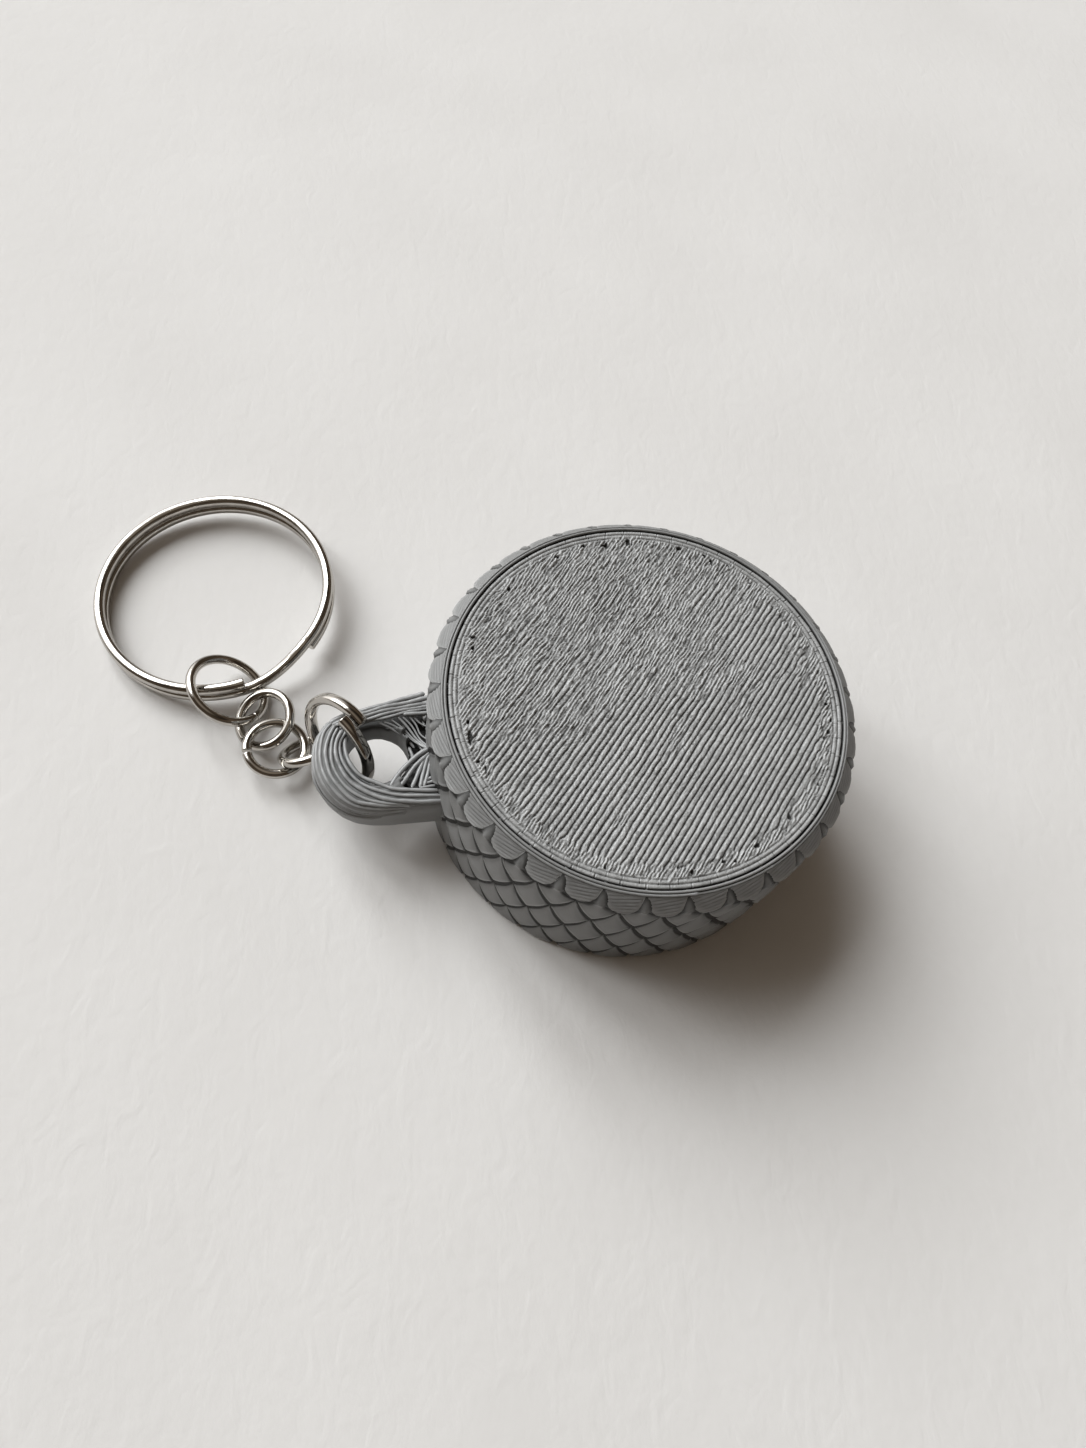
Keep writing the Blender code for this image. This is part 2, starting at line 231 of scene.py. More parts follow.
# --------------------------------------
# The split ring. Hard steel wire wound two turns on itself, tumbled and nickel plated. Its cut
# ends lie on the turns, and one cranked step takes the wire from the upper turn to the lower.
SPLIT_MIDDLE = (-40.502, 23.248, 1.976)
SPLIT_LEAN, SPLIT_HEADING = 3.7, 181.0
SPLIT_RADIUS = 11.95
SPLIT_HALF_WIRE = 0.57
SPLIT_SPACING = 1.22
SPLIT_STARTS_AT = 104.7
SPLIT_SWEEP = 682.0
SPLIT_STEP = 38.0
WIRE_SIDES = 28


def lie_of(lean, heading):
    """The three directions of a ring that leans over and then turns to a heading, in degrees."""
    return np.array(Matrix.Rotation(math.radians(heading), 3, "Z")
                    @ Matrix.Rotation(math.radians(lean), 3, "Y"))


def face_outwards(mesh):
    """Turn every face of a closed piece to look out of it."""
    turned = bmesh.new()
    turned.from_mesh(mesh)
    bmesh.ops.recalc_face_normals(turned, faces=turned.faces)
    turned.to_mesh(mesh)
    turned.free()


def draw_wire(name, middle, lie, radius, degrees, along, half_out, half_along, squareness,
              end_round=0.16):
    """Wire with a rounded section, bent round a middle. Sizes in millimetres."""
    order = 1 if degrees[-1] > degrees[0] else -1
    per_mm = order * 180 / (math.pi * radius)
    # the cut ends are rounded over
    steps = np.array([0.0, 0.12, 0.35, 0.65, 1.0]) * end_round
    narrowed = np.array([0.80, 0.89, 0.955, 0.99, 1.0])
    clear = 1.3 * end_round * abs(per_mm)
    keep = (np.abs(degrees - degrees[0]) > clear) & (np.abs(degrees - degrees[-1]) > clear)
    places = np.concatenate([degrees[0] + steps * per_mm, degrees[keep],
                             (degrees[-1] - steps * per_mm)[::-1]])
    along = np.interp(places * order, degrees * order, along)
    girth = np.concatenate([narrowed, np.ones(keep.sum()), narrowed[::-1]])
    turns = np.radians(places)
    outward = np.stack([np.cos(turns), np.sin(turns), np.zeros(len(turns))], 1) @ lie.T
    path = (np.array(middle) + outward * radius + np.outer(along, lie[:, 2])) * mm
    forward = np.gradient(path, axis=0)
    forward /= np.linalg.norm(forward, axis=1)[:, None]
    sideways = lie[:, 2] - forward * (forward @ lie[:, 2])[:, None]
    sideways /= np.linalg.norm(sideways, axis=1)[:, None]
    across = np.cross(sideways, forward)
    outward = across * np.sign((across * outward).sum(1))[:, None]
    around = np.linspace(0, 2 * math.pi, WIRE_SIDES, endpoint=False)
    reach = (np.abs(np.cos(around)) ** squareness
             + np.abs(np.sin(around)) ** squareness) ** (-1 / squareness)
    out_part, side_part = half_out * reach * np.cos(around), half_along * reach * np.sin(around)
    points = (path[:, None] + mm * girth[:, None, None] * (
        out_part[None, :, None] * outward[:, None] + side_part[None, :, None] * sideways[:, None]))
    length = np.cumsum(np.linalg.norm(np.diff(path, axis=0, prepend=path[:1]), axis=1)) / mm
    rows = len(path)
    faces, unrolled = [], []
    for row in range(rows - 1):
        here, after = row * WIRE_SIDES, (row + 1) * WIRE_SIDES
        for side in range(WIRE_SIDES):
            beside = (side + 1) % WIRE_SIDES
            faces.append((here + side, after + side, after + beside, here + beside))
            low, high = side / WIRE_SIDES, (side + 1) / WIRE_SIDES
            unrolled += [length[row], low, length[row + 1], low, length[row + 1], high,
                         length[row], high]
    faces.append(tuple(range(WIRE_SIDES)))
    faces.append(tuple(reversed(range((rows - 1) * WIRE_SIDES, rows * WIRE_SIDES))))
    unrolled += [0.0, 0.5] * (2 * WIRE_SIDES)
    mesh = bpy.data.meshes.new(name)
    mesh.from_pydata(points.reshape(-1, 3).tolist(), [], faces)
    mesh.uv_layers.new(name="along_wire").data.foreach_set("uv", unrolled)
    mesh.polygons.foreach_set("use_smooth", [len(face) == 4 for face in faces])
    face_outwards(mesh)
    return put_in(name, mesh)


def nickel_plate(name, dull):
    """Polished nickel over drawn steel. The die has left faint lines along the wire, the
    tumbling a soft unevenness, and handling small dull patches."""
    nickel = Finish(name)
    nickel.shader.inputs["Metallic"].default_value = 1.0
    along = nickel.add("ShaderNodeUVMap", {"uv_map": "along_wire"}).outputs[0]
    drawn = nickel.noise(nickel.stretched(along, 0.35, 26.0, 1.0), 1.0, 4.0, Roughness=0.6)
    patches = nickel.noise(nickel.where, 520.0, 3.0, Roughness=0.55)
    swell = nickel.noise(nickel.where, 330.0, 1.0)
    nickel.into("Base Color", nickel.blend_of(patches, [
        (0.30, (0.41, 0.386, 0.354)), (0.52, (0.50, 0.475, 0.440)), (0.75, (0.57, 0.546, 0.512))]))
    nickel.into("Roughness", nickel.between(nickel.laid_over(drawn, 0.5, patches), 0.45, 1.1,
                                            0.05 + dull, 0.14 + dull))
    nickel.into("Normal", nickel.raised(drawn, 0.0018 * mm, nickel.raised(swell, 0.05 * mm)))
    return nickel.made


swept = np.linspace(0, SPLIT_SWEEP, 460)
stepped = np.clip((swept - 360 + SPLIT_STEP) / SPLIT_STEP, 0, 1)
turn_level = SPLIT_SPACING * (0.5 - stepped ** 2 * (3 - 2 * stepped))
split_ring_wire = draw_wire("split_ring_wire", SPLIT_MIDDLE, lie_of(SPLIT_LEAN, SPLIT_HEADING),
                            SPLIT_RADIUS, SPLIT_STARTS_AT - swept, turn_level,
                            SPLIT_HALF_WIRE * 0.99, SPLIT_HALF_WIRE * 1.02, 2.25)
split_ring_wire.data.materials.append(nickel_plate("nickel_split_ring", 0.0))
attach(split_ring_wire, "split_ring")
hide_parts("split_ring")

# --------------------------------------
# The four jump rings. Soft steel wire, coiled on a rod, sawn into single rings and plated. Each
# is twisted shut by hand, so its two sawn ends meet in a fine seam. One was left a little open.
LINK_RADIUS = 2.85
BIG_LINK_RADIUS = 3.85
LINK_HALF_WIRE = 0.49
SEAM = 0.05
LEFT_OPEN = 0.30
ENDS_PASS = 0.03
jump_rings = [
    # piece, its node and body, middle, lean, heading, radius, where its ends meet, their gap
    ("jump_ring_large", "ring_link_1", "link_1", (-38.968, 11.106, 2.600), 32.7, 15.8,
     BIG_LINK_RADIUS, 300.0, SEAM),
    ("jump_ring_second", "ring_link_2", "link_2", (-35.423, 7.812, 2.052), 22.5, 196.9,
     LINK_RADIUS, 20.0, SEAM),
    ("jump_ring_open", "ring_link_3", "link_3", (-34.310, 4.540, 2.018), 7.4, 8.5,
     LINK_RADIUS, 180.0, LEFT_OPEN),
    ("jump_ring_upright", "ring_link_4", "link_4", (-30.954, 3.906, 2.577), 46.1, 110.7,
     LINK_RADIUS, 290.0, SEAM),
]
link_finish = nickel_plate("nickel_jump_rings", 0.015)
for piece, node, body, middle, lean, heading, radius, meets_at, gap in jump_rings:
    missing = math.degrees(gap / radius)
    degrees = np.linspace(meets_at + missing / 2, meets_at + 360 - missing / 2, 150)
    # the ends of a ring that is twisted shut stand a little to either side
    sprung = (ENDS_PASS if gap == SEAM else 0.0) * (degrees - degrees.mean()) / 180
    jump_ring = draw_wire(piece, middle, lie_of(lean, heading), radius, degrees, sprung,
                          LINK_HALF_WIRE, LINK_HALF_WIRE, 2.0, end_round=0.09)
    jump_ring.data.materials.append(link_finish)
    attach(jump_ring, body)
    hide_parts(node)

# --------------------------------------
# The eye ring. A heavier ring of wire pressed a little flat, wound just over one turn, so its
# ends lie side by side. It goes through the drum's eye and carries the chain.
EYE_RING_MIDDLE = (-27.693, 2.509, 7.150)
EYE_RING_LEAN, EYE_RING_HEADING = 73.9, 219.7
EYE_RING_RADIUS = 4.36
EYE_RING_HALF_OUT, EYE_RING_HALF_ALONG = 0.50, 0.57
EYE_RING_STARTS_AT = 176.5
EYE_RING_SWEEP = 378.0
EYE_RING_SPACING = 1.30
EYE_RING_CLIMB = EYE_RING_SPACING * EYE_RING_SWEEP / 360
swept = np.linspace(0, EYE_RING_SWEEP, 190)
eye_ring_wire = draw_wire("eye_ring_wire", EYE_RING_MIDDLE,
                          lie_of(EYE_RING_LEAN, EYE_RING_HEADING), EYE_RING_RADIUS,
                          EYE_RING_STARTS_AT - swept,
                          EYE_RING_CLIMB * (0.5 - swept / EYE_RING_SWEEP),
                          EYE_RING_HALF_OUT, EYE_RING_HALF_ALONG, 3.0, end_round=0.14)
eye_ring_wire.data.materials.append(nickel_plate("nickel_eye_ring", 0.02))
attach(eye_ring_wire, "eye_ring")
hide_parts("eye_ring")

# --------------------------------------
# The drum's case, its shell. Printed upright in grey plastic, 0.2 mm layers, with a bore for
# the core and a rim of two beads. The nozzle started and stopped the rim on the near side.
DRUM_HEIGHT = 18.4
BORE_RADIUS = 17.81
SHELL_COLUMNS = 720
BLOB_PAST_END = 0.012
# where two passes of the outer bead end, how far the next one starts below them and how soon it
# has climbed, and how high and wide the blob is
RIM_ENDS = [(math.radians(-86.9), 0.13, 6, 0.09, 0.014),
            (math.radians(-64.2), 0.05, 9, 0.06, 0.012)]
# the wall behind the scales, which gets painted shade, and then its foot: radius, height
# # and, for the foot, painted shade
SHELL_WALL = [(18.33, 17.9), (18.40, 17.6), (18.50, 17.2), (18.58, 16.8), (18.62, 15.0),
              (18.62, 12.0), (18.62, 9.2), (18.62, 6.0), (18.62, 3.0), (18.62, 1.0), (18.65, 0.3)]
SHELL_FOOT = [(18.62, 0.05, 0.5), (18.55, 0.0, 0.0), (17.87, 0.0, 0.0)]
# how much painted shade the bore and the wall behind the scales get
PAINTED_SHADE = 0.9


def hump(value, width):
    """1 where the value is 0, falling off smoothly to either side over about the width."""
    return np.exp(-(value / width) ** 2)


def round_axis(radius, turn, height):
    """Points by their distance from the drum's axis, their turn round it and their height."""
    places = np.broadcast_arrays(radius * np.cos(turn), radius * np.sin(turn), height)
    return np.stack(places, -1).reshape(-1, 3)


def sheet_faces(rows, columns, start=0, round_columns=True, round_rows=False):
    """Faces between the rows of a grid of points, which may close round either way."""
    faces = []
    for row in range(rows if round_rows else rows - 1):
        here, after = start + row * columns, start + (row + 1) % rows * columns
        for column in range(columns if round_columns else columns - 1):
            beside = (column + 1) % columns
            faces.append((here + column, here + beside, after + beside, after + column))
    return faces


def make_piece(name, points, faces):
    """A smooth piece from points in millimetres."""
    mesh = bpy.data.meshes.new(name)
    mesh.from_pydata((np.asarray(points) * mm).tolist(), [], faces)
    mesh.polygons.foreach_set("use_smooth", [True] * len(mesh.polygons))
    return put_in(name, mesh)


def note_points(piece, name, values):
    """A number kept at each point of a piece, for its finish to read."""
    notes = piece.data.attributes.new(name, "FLOAT", "POINT")
    notes.data.foreach_set("value", np.asarray(values, np.float32))


def noted(finish, name):
    """The number that note_points has kept under a name."""
    return finish.add("ShaderNodeAttribute", {"attribute_name": name}).outputs["Fac"]


def darkened(finish, colour, by):
    """A colour made darker by another."""
    return finish.add("ShaderNodeMix", {"data_type": "RGBA", "blend_type": "MULTIPLY"}, i0=1.0,
                      i6=colour, i7=by).outputs[2]


def wall_print():
    """Grey satin plastic laid down in layers. The lines lie level, run a little uneven, and
    the tone drifts with the heat of each pass. Creases and undersides get painted shade, lips a
    painted highlight, and the shaded parts reflect less."""
    wall = Finish("grey_print_wall")
    drift = wall.noise(wall.stretched(wall.where, 60.0, 60.0, 700.0), 1.0, 4.0, Roughness=0.6)
    specks = wall.noise(wall.where, 2600.0, 2.0)
    layers = wall.add("ShaderNodeTexWave", {"bands_direction": "Z"}, Vector=wall.where,
                      Scale=1570.8, Distortion=1.6, Detail=2.0).outputs["Fac"]
    tone = wall.laid_over(specks, 0.3, drift)
    plain = wall.blend_of(tone, [
        (0.40, (0.225, 0.2241, 0.2205)), (0.64, (0.272, 0.271456, 0.26792)),
        (0.88, (0.315, 0.315, 0.31185))])
    crease = noted(wall, "crease")
    # painted shade and highlight: high values darken the colour, low ones leave the lips pale
    shade_and_highlight_tint = wall.blend_of(wall.between(crease, -1.0, 1.0, 0.0, 1.0), [
        (0.0, (1.0, 1.0, 1.0)), (0.5, (0.70, 0.70, 0.70)), (0.75, (0.30, 0.30, 0.295)),
        (0.97, (0.115, 0.113, 0.109)), (1.0, (0.095, 0.093, 0.090))])
    wall.into("Base Color", darkened(wall, plain, shade_and_highlight_tint))
    wall.into("Specular IOR Level", wall.between(crease, 0.35, 0.95, 0.55, 0.06))
    wall.into("Roughness", wall.between(tone, 0.45, 0.85, 0.40, 0.58))
    wall.into("Normal", wall.raised(specks, 0.006 * mm, wall.raised(layers, 0.006 * mm)))
    return wall.made


shell_turn = np.linspace(-math.pi, math.pi, SHELL_COLUMNS, endpoint=False)
bead_drop, blob = np.zeros(SHELL_COLUMNS), np.zeros(SHELL_COLUMNS)
for end, drop, climb, blob_height, blob_width in RIM_ENDS:
    gone_round = (shell_turn - end) % (2 * math.pi) / (2 * math.pi)
    bead_drop += drop * (1 - gone_round) ** climb
    blob += blob_height * hump(shell_turn - end + BLOB_PAST_END, blob_width)
wavy = 0.012 * np.sin(shell_turn * 57 + 1.3) + 0.010 * np.sin(shell_turn * 131 + 0.4)
shell_rows = [(BORE_RADIUS, height, PAINTED_SHADE) for height in np.linspace(0.30, 18.05, 9)]
bead_shares = np.linspace(0, 1, 11)
bead_arcs = np.sqrt(np.clip(1 - (2 * bead_shares - 1) ** 2, 0, None))
# each bead row's third number is painted shade where the beads meet and a painted highlight on
# their crests
for share, arc in zip(bead_shares, bead_arcs):
    shell_rows.append((BORE_RADIUS + 0.01 + 0.27 * share,
                       DRUM_HEIGHT - 0.17 + (0.16 + 0.3 * wavy) * arc, 0.75 - 1.45 * arc))
for share, arc in zip(bead_shares, bead_arcs):
    shell_rows.append((BORE_RADIUS + 0.285 + (0.255 + 0.4 * blob + 0.6 * wavy) * share,
                       DRUM_HEIGHT - 0.24 - bead_drop + (0.15 + 0.5 * blob + 0.5 * wavy) * arc,
                       0.70 - 1.35 * arc))
shell_rows += [(radius, height, PAINTED_SHADE) for radius, height in SHELL_WALL] + SHELL_FOOT
case_shell = make_piece("case_shell", np.concatenate([
    round_axis(radius, shell_turn, height) for radius, height, crease in shell_rows]),
    sheet_faces(len(shell_rows), SHELL_COLUMNS, round_rows=True))
note_points(case_shell, "crease", np.repeat([row[2] for row in shell_rows], SHELL_COLUMNS))
wall_plastic = wall_print()
case_shell.data.materials.append(wall_plastic)
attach(case_shell, "case")
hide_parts("drum_case")

# --------------------------------------
# The scales. They are printed in one with the shell: six staggered rows of leaves, each with a
# thin rounded lip along its lower edge and a groove under it. The upper leaves grow out from
# under the rim in steep passes that stand out as beads.
SCALES_ROUND = 33
SCALE_ROWS = 6
FIRST_SCALE = math.radians(3.6)
FIRST_TIP = 16.8
ROW_PITCH = 3.75
EDGE_RISE = 3.1
RIM_FOOT = 18.12
LOWEST_EDGE = 0.30
WALL_RADIUS, WALL_BULGE = 18.65, 0.2
MID_HEIGHT = DRUM_HEIGHT / 2
LEAF_REACH = 0.79
OUTERMOST = 19.60
LEAF_COLUMNS = 25
PASS_HEIGHT = 0.22
# rows of points keep these distances from a leaf's lower edge and from the lips above it
UP_FROM_EDGE = (0.08, 0.18, 0.30, 0.48, 0.75)
DOWN_FROM_LIPS = (2.6, 2.2, 1.9, 1.66, 1.54, 1.44, 1.36, 1.28, 1.18, 1.04, 0.80, 0.40, 0.05)
# the three rows that turn a leaf's edge inwards: how far in, how far down, how much painted shade
LEAF_BACK = np.array([(0.95, -0.02, 1.0), (0.14, 0.05, 0.9), (0.035, 0.045, 0.1)])
half_pitch = math.pi / SCALES_ROUND
leaf_x = (0.35 * np.sin(np.linspace(-math.pi / 2, math.pi / 2, LEAF_COLUMNS))
          + 0.65 * np.linspace(-1, 1, LEAF_COLUMNS))
above_x = np.where(leaf_x < 0, leaf_x + 1, leaf_x - 1)
print_luck = np.random.default_rng(20).normal(size=(SCALE_ROWS, SCALES_ROUND, 6))


def ease(value, low, high):
    """0 below low, 1 above high, and a smooth way between."""
    share = np.clip((value - low) / (high - low), 0, 1)
    return share * share * (3 - 2 * share)


def leaf_edge(scale_row, number, x):
    """The height of a leaf's lower edge, x running from -1 to 1 across it."""
    luck = print_luck[scale_row, number % SCALES_ROUND]
    tip = FIRST_TIP - ROW_PITCH * scale_row + 0.05 * luck[0]
    x = x - 0.02 * luck[2] * (1 - x ** 2)
    if scale_row == 0:
        return tip + (RIM_FOOT - tip) * (1 - np.sqrt(np.clip(1 - (x / 0.91) ** 2, 0, 1)))
    return np.clip(tip + EDGE_RISE * np.abs(x) ** (1.10 + 0.06 * luck[3]), LOWEST_EDGE, RIM_FOOT)


def rim_slope(height):
    """The steep slope that the upper leaves make from the rim out to their tips."""
    down = np.clip((RIM_FOOT - height) / 1.32, 0, 1)
    return 18.36 + 1.22 * (1 - (1 - down) ** 1.25)


def leaf_lean(height, tip, reach):
    """The way that a leaf leans out, from the very slightly barrelled wall down to its tip."""
    wall = WALL_RADIUS + WALL_BULGE * (1 - ((height - MID_HEIGHT) / MID_HEIGHT) ** 2)
    return wall + reach * np.clip(1 - (np.clip(height - tip, 0, None) / 7) ** 1.8, 0, 1)


def upper_leaf(at, own, luck):
    """The radius and painted shading of a leaf under the rim, whose passes stand out as beads."""
    beads = np.abs(np.sin(math.pi * (at - 0.22 * leaf_x + 0.04 * luck[5]) / PASS_HEIGHT))
    step_out = np.clip((RIM_FOOT - 0.04 - at) / 0.10, 0, 1)
    side = np.clip((np.abs(leaf_x) - 0.74) / 0.2, 0, 1) ** 2 * step_out
    radius = rim_slope(at) + (0.085 * np.sqrt(beads) - 0.085) * step_out - 0.10 * side
    # painted shade in the grooves between beads and at the leaf's sides, a painted highlight on
    # the bead crests
    crease = (0.62 * (1 - np.clip(beads / 0.60, 0, 1)) - 0.26) * step_out
    return radius, crease + 0.25 * side * (own > 0.12)


def lower_leaf(scale_row, at, own, tip, cover, luck):
    """The radius and painted shading of a leaf that bulges like a pillow, comes level with the
    lips above it and has a groove under them. Here and there a small hole is left below the notch."""
    lip_above = leaf_lean(cover, tip + ROW_PITCH, LEAF_REACH) - 0.05 + 0.15 * (
        1 - np.abs(above_x) ** 1.8) * np.clip((cover - tip - ROW_PITCH) / 2, 0, 1)
    if scale_row == 1:
        lip_above = np.minimum(lip_above, rim_slope(cover) + 0.02)
    roof = 0.15 * (1 - np.abs(leaf_x) ** 1.8) * np.clip((at - tip) / 2, 0, 1) - 0.11
    radius = leaf_lean(at, tip, LEAF_REACH * (1 + 0.03 * luck[1])) + roof
    below_cover = np.maximum(cover - at, 0.0)
    level_with = lip_above - 0.05 - 0.04 * below_cover
    near_lips = 1 - ease(below_cover, 0.9, 3.0)
    radius = radius + near_lips * np.maximum(level_with - radius, 0)
    wide = 1.28 + 0.08 * luck[5] - (0.30 if scale_row == 1 else 0.0)
    wide = wide * (1 - 0.30 * hump(leaf_x, 0.16))
    groove = 1 - ease(below_cover, wide, wide + 0.16)
    hole = max(0.0, luck[4] - 0.35) * (scale_row > 1) * (
        hump(leaf_x - 0.10, 0.16) * hump(below_cover - wide - 0.30, 0.45))
    # painted shade: darkest in the groove under the lips, fading down the leaf, darker towards its
    # right side and dark in the hole
    crease = (0.52 * np.exp(-(below_cover - wide) / 1.2)
              + 0.22 * ease(leaf_x, -0.2, 0.9) - 0.12 + 2.4 * hole)
    if scale_row == 1:
        # between the scallops it swells up to the rim in a knuckle, whose top gets a painted
        # highlight
        knuckle = hump(leaf_x - 0.05, 0.26) * hump(at - 17.35, 0.60)
        radius = np.minimum(radius, rim_slope(at) - 0.08) + 0.34 * knuckle
        radius = np.minimum(radius, rim_slope(at) + 0.07)
        crease = crease - 0.75 * knuckle
        groove = groove * (1 - 0.75 * np.clip(1.5 * knuckle, 0, 1))
    radius = radius - 0.10 * groove - 0.35 * np.clip(hole, 0, 1)
    lip = 0.06 * hump(own - 0.11, 0.12) * (1 - groove)
    return radius + lip, np.maximum(crease, groove * 0.98)


def leaf_places(edge, cover, tall):
    """Heights for a lower leaf's rows of points, up from its edge to the lips above it."""
    lower = [edge] * 4 + [edge + np.minimum(up, tall * (0.04 + 0.03 * step))
                          for step, up in enumerate(UP_FROM_EDGE)]
    upper = [cover - np.minimum(down, tall * (0.80 - 0.02 * step))
             for step, down in enumerate(DOWN_FROM_LIPS)]
    room = [lower[-1] + (upper[0] - lower[-1]) * share for share in (0.25, 0.5, 0.75)]
    return lower + room + upper + [cover + 0.2, cover + 0.55]


scale_points, scale_faces, scale_painted_shading = [], [], []
for scale_row in range(SCALE_ROWS):
    for number in range(SCALES_ROUND):
        middle = FIRST_SCALE + 2 * half_pitch * (number + (scale_row % 2) / 2)
        luck = print_luck[scale_row, number]
        tip = FIRST_TIP - ROW_PITCH * scale_row + 0.05 * luck[0]
        edge = leaf_edge(scale_row, number, leaf_x)
        if scale_row == 0:
            tall = np.maximum(RIM_FOOT - edge, 0.3)
            at = [edge] * 4 + [edge + tall * share for share in np.linspace(0, 1, 44)[1:]]
        else:
            # the two leaves of the row above cover this one down to their own edges
            left = number - 1 if scale_row % 2 == 0 else number
            cover = np.where(leaf_x < 0, leaf_edge(scale_row - 1, left, above_x),
                             leaf_edge(scale_row - 1, left + 1, above_x))
            at = leaf_places(edge, cover, np.maximum(cover - edge, 0.3))
        at = np.clip(at, LOWEST_EDGE, RIM_FOOT)
        own = (at - edge) * 0.55
        if scale_row == 0:
            radius, crease = upper_leaf(at, own, luck)
        else:
            radius, crease = lower_leaf(scale_row, at, own, tip, cover, luck)
        # the lip gets a painted highlight
        crease = crease - 0.95 * hump(own - 0.06, 0.13) * np.clip(1 - 1.2 * crease, 0, 1)
        radius[:3] -= LEAF_BACK[:, :1]
        at[:3] = np.maximum(at[:3] - LEAF_BACK[:, 1:2], 0.24)
        crease[:3] += LEAF_BACK[:, 2:]
        start = sum(len(points) for points in scale_points)
        scale_faces += sheet_faces(len(at), LEAF_COLUMNS, start, round_columns=False)
        scale_points.append(round_axis(np.minimum(radius, OUTERMOST),
                                       middle + half_pitch * leaf_x * 0.995, at))
        scale_painted_shading.append(np.clip(crease, -1, 1).ravel())
case_scales = make_piece("case_scales", np.concatenate(scale_points), scale_faces)
note_points(case_scales, "crease", np.concatenate(scale_painted_shading))
case_scales.data.materials.append(wall_plastic)
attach(case_scales, "case")

# --------------------------------------
# The drum's eye. Printed in the air out from the wall: a band of plastic round a hole, on which
# the upper passes have sagged into a sheaf of strands. At the wall the hole's bridge has failed
# and left a hollow, crossed by stray threads and beads.
HOLE_MIDDLE = np.array([-24.4, 0.0])
HOLE_RADIUS = 3.1
EYE_BASE, EYE_TOP = 5.3, 9.78
BAND_COLUMNS = 288
# the band's outer edge from above, from the near arm round its end to the far arm
BAND_OUTLINE = [
    (-17.6, -5.75), (-19.0, -5.82), (-21.0, -5.86), (-23.0, -5.87), (-24.4, -5.86), (-25.9, -5.62),
    (-27.3, -5.02), (-28.5, -4.12), (-29.4, -2.95), (-30.0, -1.60), (-30.22, -0.2), (-30.12, 1.1),
    (-29.70, 2.35), (-28.85, 3.45), (-27.5, 4.18), (-26.0, 4.50), (-24.4, 4.86), (-22.6, 5.24),
    (-20.6, 5.60), (-18.8, 5.85), (-17.6, 5.95)]


def through(points, count):
    """A smooth line through points, evenly parted into count places."""
    points = np.asarray(points, float)
    padded = np.vstack([2 * points[0] - points[1], points, 2 * points[-1] - points[-2]])
    line = []
    for k in range(len(points) - 1):
        p0, p1, p2, p3 = padded[k:k + 4]
        t = np.linspace(0, 1, 12, endpoint=False)[:, None]
        line.append(0.5 * (2 * p1 + (p2 - p0) * t + (2 * p0 - 5 * p1 + 4 * p2 - p3) * t ** 2
                           + (3 * p1 - p0 - 3 * p2 + p3) * t ** 3))
    line = np.vstack([*line, points[-1:]])
    walked = np.concatenate([[0], np.cumsum(np.linalg.norm(np.diff(line, axis=0), axis=1))])
    places = np.linspace(0, walked[-1], count)
    return np.stack([np.interp(places, walked, line[:, k]) for k in range(line.shape[1])], 1)


# how far the band reaches from the hole's middle, all the way round
band_edge = through(BAND_OUTLINE, 400) - HOLE_MIDDLE
wall_side = np.radians(np.linspace(-39, 39, 30))
ways = np.concatenate([np.arctan2(band_edge[:, 1], band_edge[:, 0]), wall_side])
fars = np.concatenate([np.linalg.norm(band_edge, axis=1), 6.15 / np.cos(wall_side) - 0.25])
band_turn = np.linspace(0, 2 * math.pi, BAND_COLUMNS, endpoint=False)
far = np.interp(band_turn, ways, fars, period=2 * math.pi)
band_luck = 0.035 * np.sin(band_turn * 9 + 1) + 0.02 * np.sin(band_turn * 23 + 2)
side_round = np.minimum(1.35, 0.46 * (far - HOLE_RADIUS))
# its section, up from the foot of the hole, outwards over the top and down the side: reach,
# # height and painted shade, darker on the hole's wall and the top than on the side
section = [(HOLE_RADIUS + inset + 0.4 * band_luck, z, 0.42) for inset, z in (
    (0.5, EYE_BASE), (0.15, EYE_BASE + 0.08), (0.0, EYE_BASE + 0.4), (0.0, 6.4), (-0.02, 7.4),
    (0.0, 8.2))]
section += [(HOLE_RADIUS + inset, EYE_TOP - below, 0.42)
            for inset, below in ((0.03, 0.5), (0.12, 0.2), (0.3, 0.06))]
for share in np.linspace(0.0, 1.0, 15)[1:]:
    reach = HOLE_RADIUS + 0.3 + (far - side_round - HOLE_RADIUS - 0.3) * share
    section.append((reach, EYE_TOP + 0.02 * np.sin(reach * 9 + band_turn * 3), 0.30))
for step, quarter in enumerate(np.linspace(0, math.pi / 2, 8)[1:]):
    section.append((far - side_round * (1 - math.sin(quarter)),
                    EYE_TOP - side_round * (1 - math.cos(quarter)), 0.30 if step == 0 else 0.0))
section += [(far + band_luck * 0.6, z, 0.0) for z in (7.6, 6.8, 6.1, 5.75)]
section += [(far - 0.13, EYE_BASE + 0.12, 0.0), (far - 0.45, EYE_BASE, 0.0)]
band_points, band_painted_shade = [], []
